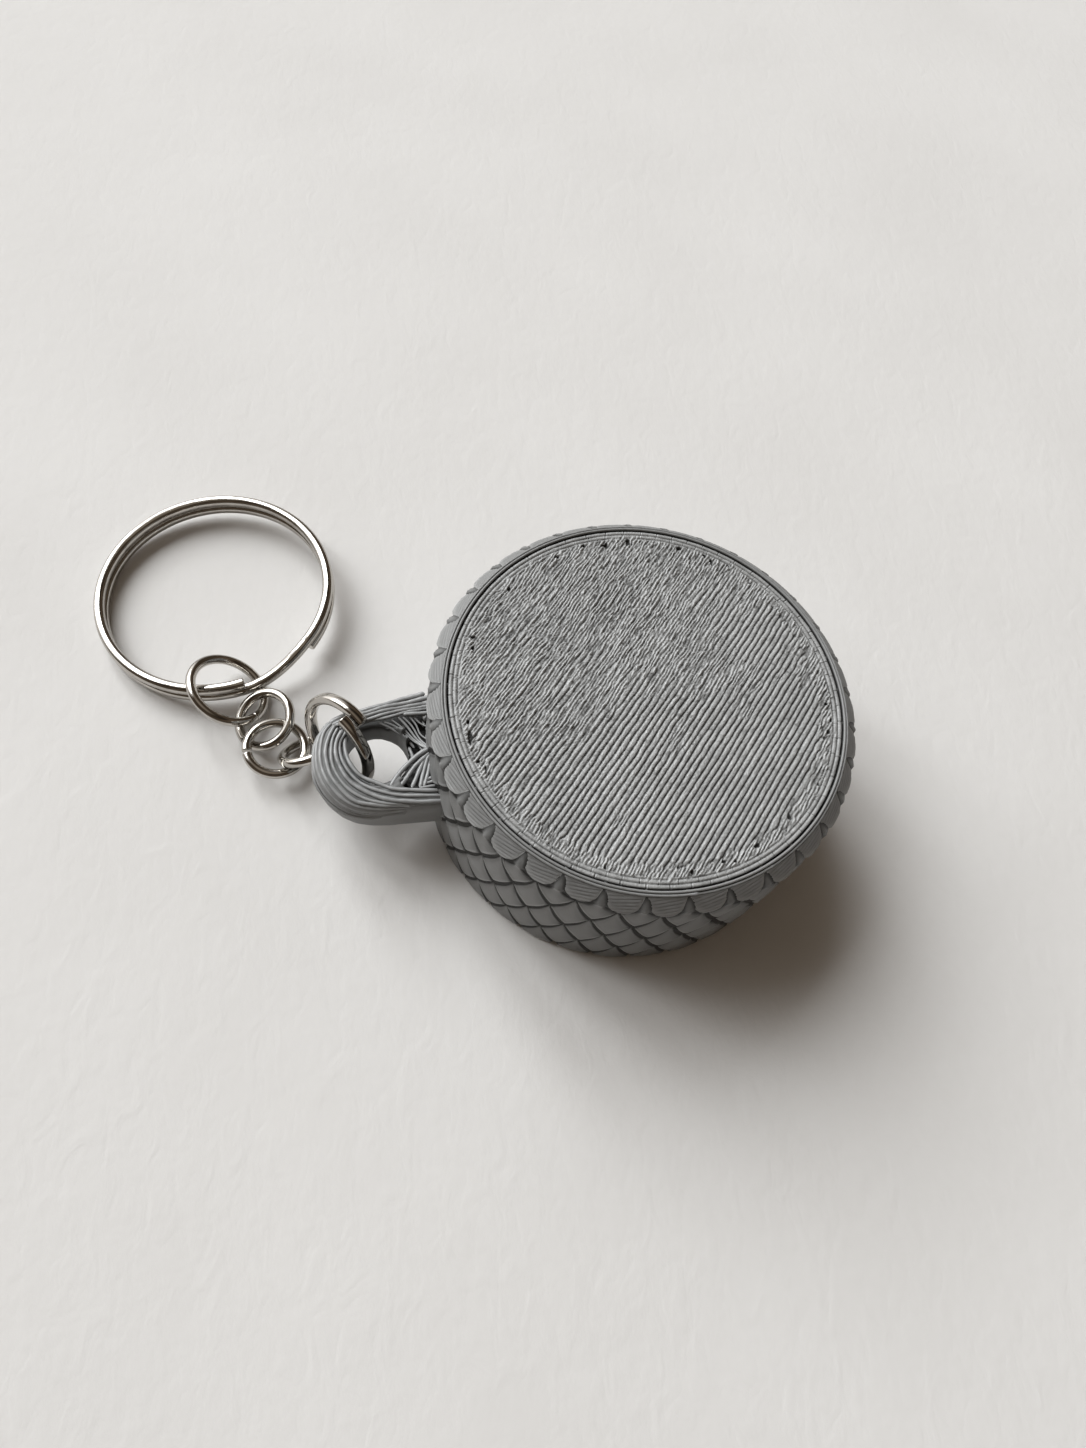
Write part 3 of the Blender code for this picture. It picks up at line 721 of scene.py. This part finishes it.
for reach, z, shade in section:
    x = HOLE_MIDDLE[0] + reach * np.cos(band_turn)
    y = reach * np.sin(band_turn)
    # the hollow between the two arms, at the wall. Its border is torn.
    torn = 0.22 * np.sin(y * 3.1 + 1) + 0.15 * np.sin(y * 7.3 + x * 2.0)
    border = np.where(y < 0, -22.9 + 0.35 * np.abs(y + 1.2), -21.75 + 0.12 * y)
    hollow = ease(x + torn, border, border + 0.5) * ease(3.72 - np.abs(y + 0.1) + torn, 0, 0.45)
    hollow = hollow * (z > 8.3)
    z = z - hollow * (z - 8.1 - 0.5 * torn)
    # the far arm's passes hang free over a lower band
    far_arm = ease(y + 0.4 * torn, 2.35, 3.0) * ease(x, -27.9, -26.6) * (z > 7.5)
    z = z - far_arm * 0.62 * (z - 7.5)
    band_points.append(np.stack([x, y, z], 1))
    # painted shade: the hollow darkest, and the lower band under the far arm dark too
    band_painted_shade.append(np.maximum(np.where(hollow > 0.3, 0.80, shade), 0.45 * far_arm))
eye_band = make_piece("eye_band", np.concatenate(band_points),
                      sheet_faces(len(section), BAND_COLUMNS, round_rows=True))
note_points(eye_band, "crease", np.concatenate(band_painted_shade))
eye_band.data.materials.append(wall_plastic)
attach(eye_band, "case")

# The strands of the sheaf, each a thickness and the points that it runs through. Those of the
# near arm run from under the eye ring round the end of the eye, and the last ones run out
# into its side.
near_strands = [
    (0.205, [(-26.62, 2.43, 9.29), (-27.03, 1.6, 9.45), (-26.94, -0.29, 9.58),
        (-26.34, -1.54, 9.6), (-25.5, -2.45, 9.62), (-24.31, -3.15, 9.7), (-22.99, -3.78, 9.78),
        (-21.38, -4.1, 9.8), (-19.76, -4.25, 9.8), (-18.11, -4.3, 9.78)]),
    (0.175, [(-26.94, 2.25, 9.74), (-27.51, 1.14, 9.66), (-27.39, -0.45, 9.66),
        (-26.8, -1.85, 9.68), (-25.84, -2.95, 9.72), (-24.52, -3.82, 9.8), (-23.02, -4.36, 9.8),
        (-21.42, -4.62, 9.78), (-19.79, -4.76, 9.74), (-18.15, -4.81, 9.72)]),
    (0.215, [(-27.26, 2.42, 9.8), (-27.81, 1.15, 9.79), (-27.86, -0.38, 9.79),
        (-27.35, -1.83, 9.78), (-26.57, -2.98, 9.8), (-25.42, -3.93, 9.8), (-24.11, -4.57, 9.77),
        (-22.79, -4.97, 9.7), (-21.45, -5.14, 9.64), (-19.9, -5.24, 9.58), (-18.2, -5.3, 9.52)]),
    (0.165, [(-27.62, 2.65, 9.8), (-28.2, 1.36, 9.8), (-28.34, -0.15, 9.8), (-28.02, -1.67, 9.8),
        (-27.35, -3.01, 9.8), (-26.3, -4.06, 9.79), (-25.01, -4.81, 9.7), (-23.61, -5.12, 9.61),
        (-22.19, -5.27, 9.46), (-20.9, -5.38, 9.3)]),
    (0.2, [(-27.85, 2.96, 9.78), (-28.51, 1.78, 9.8), (-28.82, 0.19, 9.8), (-28.64, -1.43, 9.8),
        (-28.02, -2.81, 9.77), (-27.1, -4.06, 9.69), (-25.91, -4.9, 9.62), (-24.34, -5.21, 9.52),
        (-22.82, -5.34, 9.39), (-21.29, -5.46, 9.22)]),
    (0.185, [(-28.22, 3.25, 9.65), (-28.97, 2.19, 9.64), (-29.32, 0.59, 9.67),
        (-29.22, -1.01, 9.67), (-28.74, -2.61, 9.64), (-27.85, -3.89, 9.51), (-26.6, -4.92, 9.33),
        (-25.06, -5.4, 9.27), (-23.46, -5.48, 9.2), (-21.84, -5.56, 9.08)]),
    (0.22, [(-28.44, 3.48, 9.38), (-29.33, 2.15, 9.34), (-29.64, 0.62, 9.43),
        (-29.62, -1.02, 9.38), (-29.2, -2.54, 9.24), (-28.3, -3.88, 9.06), (-27.04, -4.93, 8.86),
        (-25.42, -5.54, 8.86), (-23.58, -5.62, 8.88), (-21.67, -5.66, 8.86)]),
    (0.19, [(-28.78, 3.32, 9.12), (-29.62, 1.95, 9.02), (-29.94, 0.31, 9.08),
        (-29.9, -1.31, 8.96), (-29.46, -2.68, 8.66), (-28.56, -3.95, 8.4), (-27.24, -5.0, 8.22),
        (-25.55, -5.66, 8.3), (-23.6, -5.74, 8.47), (-21.8, -5.74, 8.6)]),
    (0.2, [(-28.95, 3.2, 8.72), (-29.8, 1.75, 8.6), (-30.08, 0.15, 8.64), (-30.02, -1.5, 8.4),
        (-29.55, -2.88, 8.02), (-28.62, -4.1, 7.76), (-27.26, -5.12, 7.7), (-25.65, -5.74, 7.98),
        (-24.0, -5.8, 8.28)]),
]
# Between each two of them a thinner one lies lower, in their shade, which is painted into its
# colour
LOW_STRAND, LOW_BY, LOW_SHADE = 0.13, 0.17, 0.50
# The strands of the far arm, which run up from the end of the eye to the wall. Two thick ones
# hang free, and one of them ends just short of it.
far_strands = [
    (0.25, [(-28.55, 3.3, 9.3), (-27.28, 3.8, 9.66), (-26.26, 4.1, 9.74), (-25.34, 4.28, 9.76),
        (-24.03, 4.57, 9.76), (-22.51, 4.99, 9.74), (-20.78, 5.43, 9.72), (-19.35, 5.78, 9.74)]),
    (0.24, [(-28.2, 3.1, 9.55), (-26.95, 3.5, 9.76), (-25.92, 3.82, 9.8), (-24.98, 4.05, 9.8),
        (-23.65, 4.42, 9.8), (-22.15, 4.66, 9.8), (-20.44, 4.98, 9.8), (-18.6, 5.35, 9.78)]),
    (0.2, [(-27.9, 2.92, 9.7), (-26.77, 3.21, 9.8), (-25.75, 3.52, 9.8), (-24.81, 3.78, 9.8),
        (-23.29, 4.14, 9.8), (-21.78, 4.38, 9.78), (-20.26, 4.58, 9.72), (-18.7, 4.85, 9.64)]),
    (0.19, [(-27.5, 2.62, 9.7), (-26.54, 2.9, 9.78), (-25.44, 3.22, 9.76), (-24.46, 3.46, 9.78),
        (-23.13, 3.8, 9.78), (-21.61, 4.1, 9.74), (-20.17, 4.32, 9.66), (-18.75, 4.55, 9.56)]),
    (0.17, [(-26.55, 2.55, 9.48), (-25.91, 2.93, 9.55), (-24.89, 3.26, 9.55),
        (-23.51, 3.42, 9.66), (-22.21, 3.66, 9.7), (-20.67, 4.02, 9.66), (-18.8, 4.3, 9.5)]),
    (0.2, [(-21.6, 3.72, 9.62), (-20.22, 3.66, 9.72), (-18.6, 3.74, 9.66)]),
]
# Stray threads over the hollow: a fan from the far arm, a bundle down to the near arm, and
# short level ones by the wall.
stray_threads = [
    (0.11, [(-23.46, 3.22, 9.45), (-22.09, 2.5, 9.2), (-20.86, 1.26, 9.12),
        (-19.62, 0.14, 9.45)]),
    (0.1, [(-22.8, 3.39, 9.5), (-21.63, 2.36, 9.28), (-20.59, 1.14, 9.22), (-19.45, 0.02, 9.5)]),
    (0.12, [(-22.13, 3.61, 9.52), (-21.16, 2.43, 9.34), (-20.31, 1.07, 9.3),
        (-19.35, -0.08, 9.5)]),
    (0.1, [(-21.65, 3.63, 9.5), (-20.78, 2.51, 9.32), (-20.11, 1.21, 9.28),
        (-19.25, 0.12, 9.45)]),
    (0.09, [(-21.09, 3.64, 9.5), (-20.39, 2.69, 9.36), (-19.99, 1.62, 9.3), (-19.2, 0.9, 9.35)]),
    (0.12, [(-23.93, 3.15, 9.35), (-22.65, 2.54, 9.05), (-21.49, 1.62, 8.86),
        (-20.72, 0.53, 8.8)]),
    (0.1, [(-20.7, 3.7, 9.45), (-20.1, 2.9, 9.3), (-19.3, 2.4, 9.3)]),
    (0.26, [(-18.7, 0.05, 9.62), (-19.17, 0.0, 9.62), (-20.22, -0.44, 9.58), (-21.2, -1.18, 9.5),
        (-22.18, -2.21, 9.45), (-22.98, -3.35, 9.55), (-23.2, -3.7, 9.5)]),
    (0.23, [(-18.75, -0.1, 9.5), (-19.38, -0.4, 9.5), (-20.57, -1.43, 9.4), (-21.57, -2.66, 9.42),
        (-22.26, -3.6, 9.58)]),
    (0.22, [(-18.8, -0.3, 9.45), (-19.59, -0.69, 9.42), (-20.32, -1.85, 9.32),
        (-21.18, -3.79, 9.55)]),
    (0.2, [(-18.85, -0.5, 9.5), (-19.5, -0.8, 9.48), (-19.97, -2.18, 9.4),
        (-20.45, -3.84, 9.58)]),
    (0.19, [(-18.8, -0.9, 9.5), (-19.25, -1.12, 9.48), (-19.62, -2.51, 9.42),
        (-20.08, -3.77, 9.58)]),
    (0.17, [(-18.2, -2.4, 9.5), (-19.09, -2.75, 9.42), (-19.93, -3.1, 9.4), (-20.3, -3.7, 9.5)]),
    (0.17, [(-18.2, -3.1, 9.5), (-19.22, -3.25, 9.45), (-20.15, -3.45, 9.48)]),
    (0.17, [(-18.2, -3.66, 9.5), (-19.17, -3.75, 9.55), (-20.5, -3.86, 9.6)]),
    (0.16, [(-21.15, 0.75, 8.55), (-20.95, -0.2, 8.95), (-20.9, -0.9, 9.2), (-20.75, -1.6, 8.5)]),
    (0.12, [(-20.6, 1.9, 8.4), (-20.2, 0.6, 8.9), (-19.8, -0.3, 9.2)]),
]


def lay_strands(name, strands, sides=14):
    """Round strands of plastic, each a thickness and the points that it runs through."""
    luck = np.random.default_rng(len(strands))
    around = np.linspace(0, 2 * math.pi, sides, endpoint=False)
    points, faces, shade = [], [], []
    for thick, corners in strands:
        length = np.linalg.norm(np.diff(corners, axis=0), axis=1).sum()
        line = through(corners, max(8, int(length / 0.16)))
        count = len(line)
        walk = np.linspace(0, length, count)
        forward = np.gradient(line, axis=0)
        forward /= np.linalg.norm(forward, axis=1)[:, None]
        aside = np.cross(forward, (0, 0, 1.0))
        aside /= np.linalg.norm(aside, axis=1)[:, None]
        over = np.cross(aside, forward)
        # it swells with the flow, narrows at its ends and sways a little
        girth = thick * (1 + 0.07 * np.sin(walk * luck.uniform(1.5, 3) + luck.uniform(0, 6))
                         + 0.04 * np.sin(walk * luck.uniform(5, 8) + luck.uniform(0, 6)))
        ends = np.minimum(walk, length - walk)
        girth = girth * np.sqrt(np.clip(ends / (0.8 * thick), 0.10, 1))
        sway = 0.025 * np.sin(walk * luck.uniform(1, 2.2) + luck.uniform(0, 6))
        line = line + aside * sway[:, None]
        ring = line[:, None] + girth[:, None, None] * (
            np.cos(around)[:, None] * aside[:, None] + np.sin(around)[:, None] * over[:, None])
        start = sum(len(block) for block in points)
        points.append(ring.reshape(-1, 3))
        # painted shade on each strand's underside, and all over the low strands
        in_shade = LOW_SHADE if thick == LOW_STRAND else 0.0
        shade.append(np.tile(np.clip((0.74 - np.sin(around)) / 1.15, 0, 1), count) + in_shade)
        faces += sheet_faces(count, sides, start)
        faces.append(tuple(range(start, start + sides)))
        faces.append(tuple(range(start + (count - 1) * sides, start + count * sides))[::-1])
    piece = make_piece(name, np.concatenate(points), faces)
    note_points(piece, "crease", np.clip(np.concatenate(shade), 0, 1))
    return piece


def strand_print():
    """The same grey plastic drawn out into strands, smoother and a little glossier, with fine
    rings where the flow has pulsed."""
    strand = Finish("grey_print_strand")
    pulse = strand.noise(strand.where, 1500.0, 3.0)
    drift = strand.noise(strand.where, 300.0, 3.0)
    plain = strand.blend_of(drift, [
        (0.30, (0.245, 0.246, 0.246)), (0.52, (0.300, 0.301, 0.300)),
        (0.75, (0.355, 0.356, 0.355))])
    crease = noted(strand, "crease")
    # the painted shade darkens the colour and dims the reflection
    shaded = strand.blend_of(crease, [
        (0.0, (1.0, 1.0, 1.0)), (0.22, (0.74, 0.74, 0.74)), (0.50, (0.30, 0.30, 0.298)),
        (1.0, (0.05, 0.05, 0.049))])
    strand.into("Base Color", darkened(strand, plain, shaded))
    strand.into("Specular IOR Level", strand.between(crease, 0.4, 1.0, 0.60, 0.10))
    strand.into("Roughness", strand.between(pulse, 0.3, 0.7, 0.26, 0.40))
    strand.into("Normal", strand.raised(pulse, 0.008 * mm))
    return strand.made


sheaf = near_strands[:1]
for (_, strand), beside in zip(near_strands, near_strands[1:]):
    shared = min(len(strand), len(beside[1]))
    low = (np.array(strand[:shared]) + np.array(beside[1][:shared])) / 2
    sheaf += [(LOW_STRAND, low - (0, 0, LOW_BY)), beside]
eye_strands = lay_strands("eye_strands", sheaf + far_strands)
eye_threads = lay_strands("eye_threads", stray_threads, 10)
strand_plastic = strand_print()
for piece in (eye_strands, eye_threads):
    piece.data.materials.append(strand_plastic)
    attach(piece, "case")

# The beads where stray threads have curled up by the wall, each a place and a size
curl_spots = [(-19.45, 3.48, 9.35, 0.30), (-19.3, 2.32, 9.2, 0.22), (-19.3, 1.47, 9.3, 0.28),
              (-19.0, 0.72, 9.4, 0.22), (-19.0, -0.31, 9.35, 0.24), (-18.95, -1.13, 9.3, 0.22),
              (-18.9, -1.94, 9.3, 0.22), (-18.75, -2.57, 9.3, 0.20), (-19.7, 2.9, 8.9, 0.2),
              (-22.95, -3.62, 9.62, 0.17), (-22.45, -3.72, 9.62, 0.15)]
curls = bmesh.new()
for number, (x, y, z, size) in enumerate(curl_spots):
    lump = bmesh.ops.create_icosphere(curls, subdivisions=3, radius=size * mm)["verts"]
    for vertex in lump:
        way = vertex.co.normalized()
        swell = 1 + 0.22 * math.sin(5 * way.x + number) * math.cos(4 * way.y + 2 * number)
        vertex.co = vertex.co * swell * (1.0 + 0.25 * abs(way.y)) + Vector((x, y, z)) * mm
eye_curls = put_in("eye_curls", bpy.data.meshes.new("eye_curls"))
curls.to_mesh(eye_curls.data)
curls.free()
eye_curls.data.polygons.foreach_set("use_smooth", [True] * len(eye_curls.data.polygons))
eye_curls.data.materials.append(strand_plastic)
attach(eye_curls, "case")

# --------------------------------------
# The drum's core. A round disc printed in place, flush with the rim, whose ridge keeps it in the
# case. Its top shows the last passes of the nozzle: slanting lines that thin out and wander
# towards the edge, and beads laid round it in short lengths.
CORE_RADIUS = 17.70
FACE_BELOW_RIM = 0.065
LINE_PITCH = 0.508
STRAY_PITCH = 0.285
LINE_WAY = math.radians(50.0)
FACE_GRID = 521
DEEPEST = 0.24
LUMPS = 509
# the core's side from the face down to its foot, with the ridge: radius and height
CORE_SIDE = [(17.70, 18.15), (17.66, 17.9), (17.55, 17.7), (17.55, 12.0), (17.55, 10.4),
             (18.1, 9.2), (17.55, 8.0), (17.55, 0.3), (17.45, 0.08), (17.25, 0.0)]


def wander(a, b, seed):
    """A smooth unevenness over a plane, from -1 to 1, with lumps about 1 across."""
    lumps = np.random.default_rng(seed).uniform(-1, 1, (LUMPS, LUMPS))
    a, b = a + 211.37, b + 190.71
    i, j = np.floor(a).astype(int), np.floor(b).astype(int)
    f, g = a - i, b - j
    f, g = f * f * (3 - 2 * f), g * g * (3 - 2 * g)
    i0, j0, i1, j1 = i % LUMPS, j % LUMPS, (i + 1) % LUMPS, (j + 1) % LUMPS
    return ((lumps[i0, j0] * (1 - f) + lumps[i1, j0] * f) * (1 - g)
            + (lumps[i0, j1] * (1 - f) + lumps[i1, j1] * f) * g)


def parted(count):
    """The number of the line that each place is on, and the way across it from -1 to 1."""
    return np.floor(count), (count % 1.0) * 2 - 1


def lines_depth(x, y, radius):
    """How far the slanting lines lie below their highest ridges, in millimetres."""
    along = x * math.cos(LINE_WAY) + y * math.sin(LINE_WAY)
    across = -x * math.sin(LINE_WAY) + y * math.cos(LINE_WAY)
    quiet_side = (0.35 * x - 0.94 * y) / CORE_RADIUS
    unrest = np.clip(0.50 - 0.50 * quiet_side + 0.34 * wander(x / 3.2, y / 3.2, 3), 0.0, 1.0)
    near_edge = ease(radius, 14.8, 16.5)
    unrest = np.maximum(unrest, 0.85 * near_edge)
    # plain lines lie straight, with a flat top and a narrow groove beside them
    shift = (0.05 * wander(along / 4.0, across / 0.9, 5)
             + 0.022 * wander(along / 0.9, across / 0.5, 6)
             + unrest * 0.15 * wander(along / 0.9, across / 0.6, 7)
             + near_edge * 0.20 * wander(along / 0.6, across / 0.5, 8))
    line, within = parted((across + shift) / LINE_PITCH)
    strength = 0.86 + 0.14 * wander(along / 1.1, line * 3.7, 9)
    bead = np.sqrt(np.clip(1 - np.abs(within / 0.90) ** 2.8, 0, 1)) * strength
    # the nozzle skips here and there and leaves a short gap in a line
    skip = ease(wander(along / 0.55, line * 5.3 + 40, 10), 0.62, 0.80)
    coarse = 0.205 * (1 - bead * (1 - 0.55 * skip * (0.35 + 0.65 * unrest)))
    # where the flow was uneven they thin out into crinkled threads at a slight slant
    strayed = (across - 0.03 * along + 0.13 * wander(along / 1.6, across / 0.8, 19)
               + 0.055 * wander(along / 0.40, across / 0.35, 20))
    line, within = parted(strayed / STRAY_PITCH)
    body = 0.66 + 0.55 * wander(along / 0.55, line * 4.1, 21)
    fine = 0.165 * (1 - (1 - np.abs(within) ** 1.5) * np.clip(body, 0.1, 1))
    share = ease(unrest + 0.22 * wander(along / 1.4, across / 0.7, 22), 0.42, 0.66)
    depth = coarse * (1 - 0.66 * share) + fine * share - 0.05 * share
    # stray threads that lie over the lines
    thread = np.clip(1 - np.abs(wander(along, across / 0.42, 11)) / 0.15, 0, 1)
    second = np.clip(1 - np.abs(wander((x + 7) / 0.55, (y - 3) / 0.55, 12)) / 0.13, 0, 1)
    depth = depth - 0.060 * thread * ease(unrest, 0.30, 0.7)
    depth = depth - 0.055 * second * ease(unrest, 0.62, 0.95)
    depth = depth + 0.020 * wander(x / 0.17, y / 0.17, 13) + 0.020 * wander(x / 0.11, y / 0.11, 14)
    # small pits where the fill doesn't reach the beads
    pit = ease(wander(x / 0.55, y / 0.55, 15), 0.70, 0.92) * ease(radius, 15.7, 16.2)
    return depth + 0.34 * pit * (1 - ease(radius, 16.75, 16.85))


def beads_depth(x, y, radius):
    """The same for the beads round the edge, laid in lengths that end in a small blob."""
    bead, across = parted(np.clip((CORE_RADIUS - radius) / 0.40, 0, 2.6))
    turn = np.arctan2(y, x)
    lengths = turn * (31 + 7 * bead) + 2.3 * bead + 1.1 * np.sin(turn * (5 + bead))
    cut = np.abs((lengths / math.pi) % 1.0 - 0.5)
    gap = 1 - ease(cut, 0.012, 0.035)
    knob = hump(cut - 0.055, 0.02)
    uneven = 0.03 * wander(lengths * 0.8, bead * 9.1, 16)
    return (0.125 * (1 - np.sqrt(np.clip(1 - (across / 0.93) ** 2, 0, 1))) + 0.07 * gap
            - 0.02 * knob + 0.035 - uneven + 0.010 * wander(x / 0.14, y / 0.14, 17))


def face_plastic():
    """The same grey plastic seen from above: painted shade makes its colour darker the deeper
    the hollows between the ridges lie, and the hollows are duller and the ridges glossier."""
    face = Finish("grey_print_face")
    face.shader.inputs["Specular IOR Level"].default_value = 0.55
    hollow = noted(face, "hollow")
    specks = face.noise(face.where, 6500.0, 2.0)
    drift = face.noise(face.where, 160.0, 3.0)
    tone = face.laid_over(drift, 0.30, face.laid_over(specks, 0.35, hollow))
    face.into("Base Color", face.blend_of(tone, [
        (0.26, (0.450, 0.450, 0.447)), (0.52, (0.340, 0.340, 0.337)), (0.78, (0.18, 0.179, 0.176)),
        (1.1, (0.05, 0.049, 0.047))]))
    face.into("Roughness", face.between(tone, 0.25, 0.95, 0.30, 0.62))
    face.into("Normal", face.raised(specks, 0.030 * mm))
    return face.made


# A square sheet of points is eased out into a round one, so its outer lines follow the edge
sheet_a, sheet_b = np.meshgrid(np.linspace(-1, 1, FACE_GRID), np.linspace(-1, 1, FACE_GRID),
                               indexing="ij")
a_leads = np.abs(sheet_a) >= np.abs(sheet_b)
lead, other = np.where(a_leads, sheet_a, sheet_b), np.where(a_leads, sheet_b, sheet_a)
with np.errstate(invalid="ignore"):
    slant = np.nan_to_num(other / lead) * math.pi / 4
ahead, beside = lead * np.cos(slant), lead * np.sin(slant)
face_x = CORE_RADIUS * np.where(a_leads, ahead, beside).ravel()
face_y = CORE_RADIUS * np.where(a_leads, beside, ahead).ravel()
from_axis = np.hypot(face_x, face_y)
frayed = ease(wander(face_x / 0.45, face_y / 0.45, 18), 0.15, 0.5)
frayed = frayed * (1 - ease(from_axis, 16.9, 17.25))
on_edge = ease(from_axis, 16.70, 16.78) * (1 - 0.7 * frayed)
sunk = np.clip(lines_depth(face_x, face_y, from_axis) * (1 - on_edge)
               + beads_depth(face_x, face_y, from_axis) * on_edge, -0.06, 0.5)
core_points = [np.stack([face_x, face_y, DRUM_HEIGHT - FACE_BELOW_RIM - sunk], 1)]
place = np.arange(FACE_GRID ** 2).reshape(FACE_GRID, FACE_GRID)
core_faces = np.stack([place[:-1, :-1], place[1:, :-1], place[1:, 1:], place[:-1, 1:]],
                      -1).reshape(-1, 4).tolist()
border = np.concatenate([place[:-1, 0], place[-1, :-1], place[:0:-1, -1], place[0, :0:-1]])
border_turn = np.arctan2(face_y[border], face_x[border])
before, total = border, FACE_GRID ** 2
for radius, height in CORE_SIDE:
    core_points.append(round_axis(radius, border_turn, height))
    after = np.arange(total, total + len(border))
    core_faces += np.stack([before, after, np.roll(after, -1), np.roll(before, -1)], 1).tolist()
    before, total = after, total + len(border)
core_faces.append(before.tolist())
core_disc = make_piece("core_disc", np.concatenate(core_points), core_faces)
face_outwards(core_disc.data)
# the depth, which the face's colour turns into painted shade
note_points(core_disc, "hollow", np.pad(np.clip(sunk / DEEPEST, 0, 1), (0, total - len(sunk))))
core_disc.data.materials.append(face_plastic())
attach(core_disc, "core")
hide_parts("drum_core")
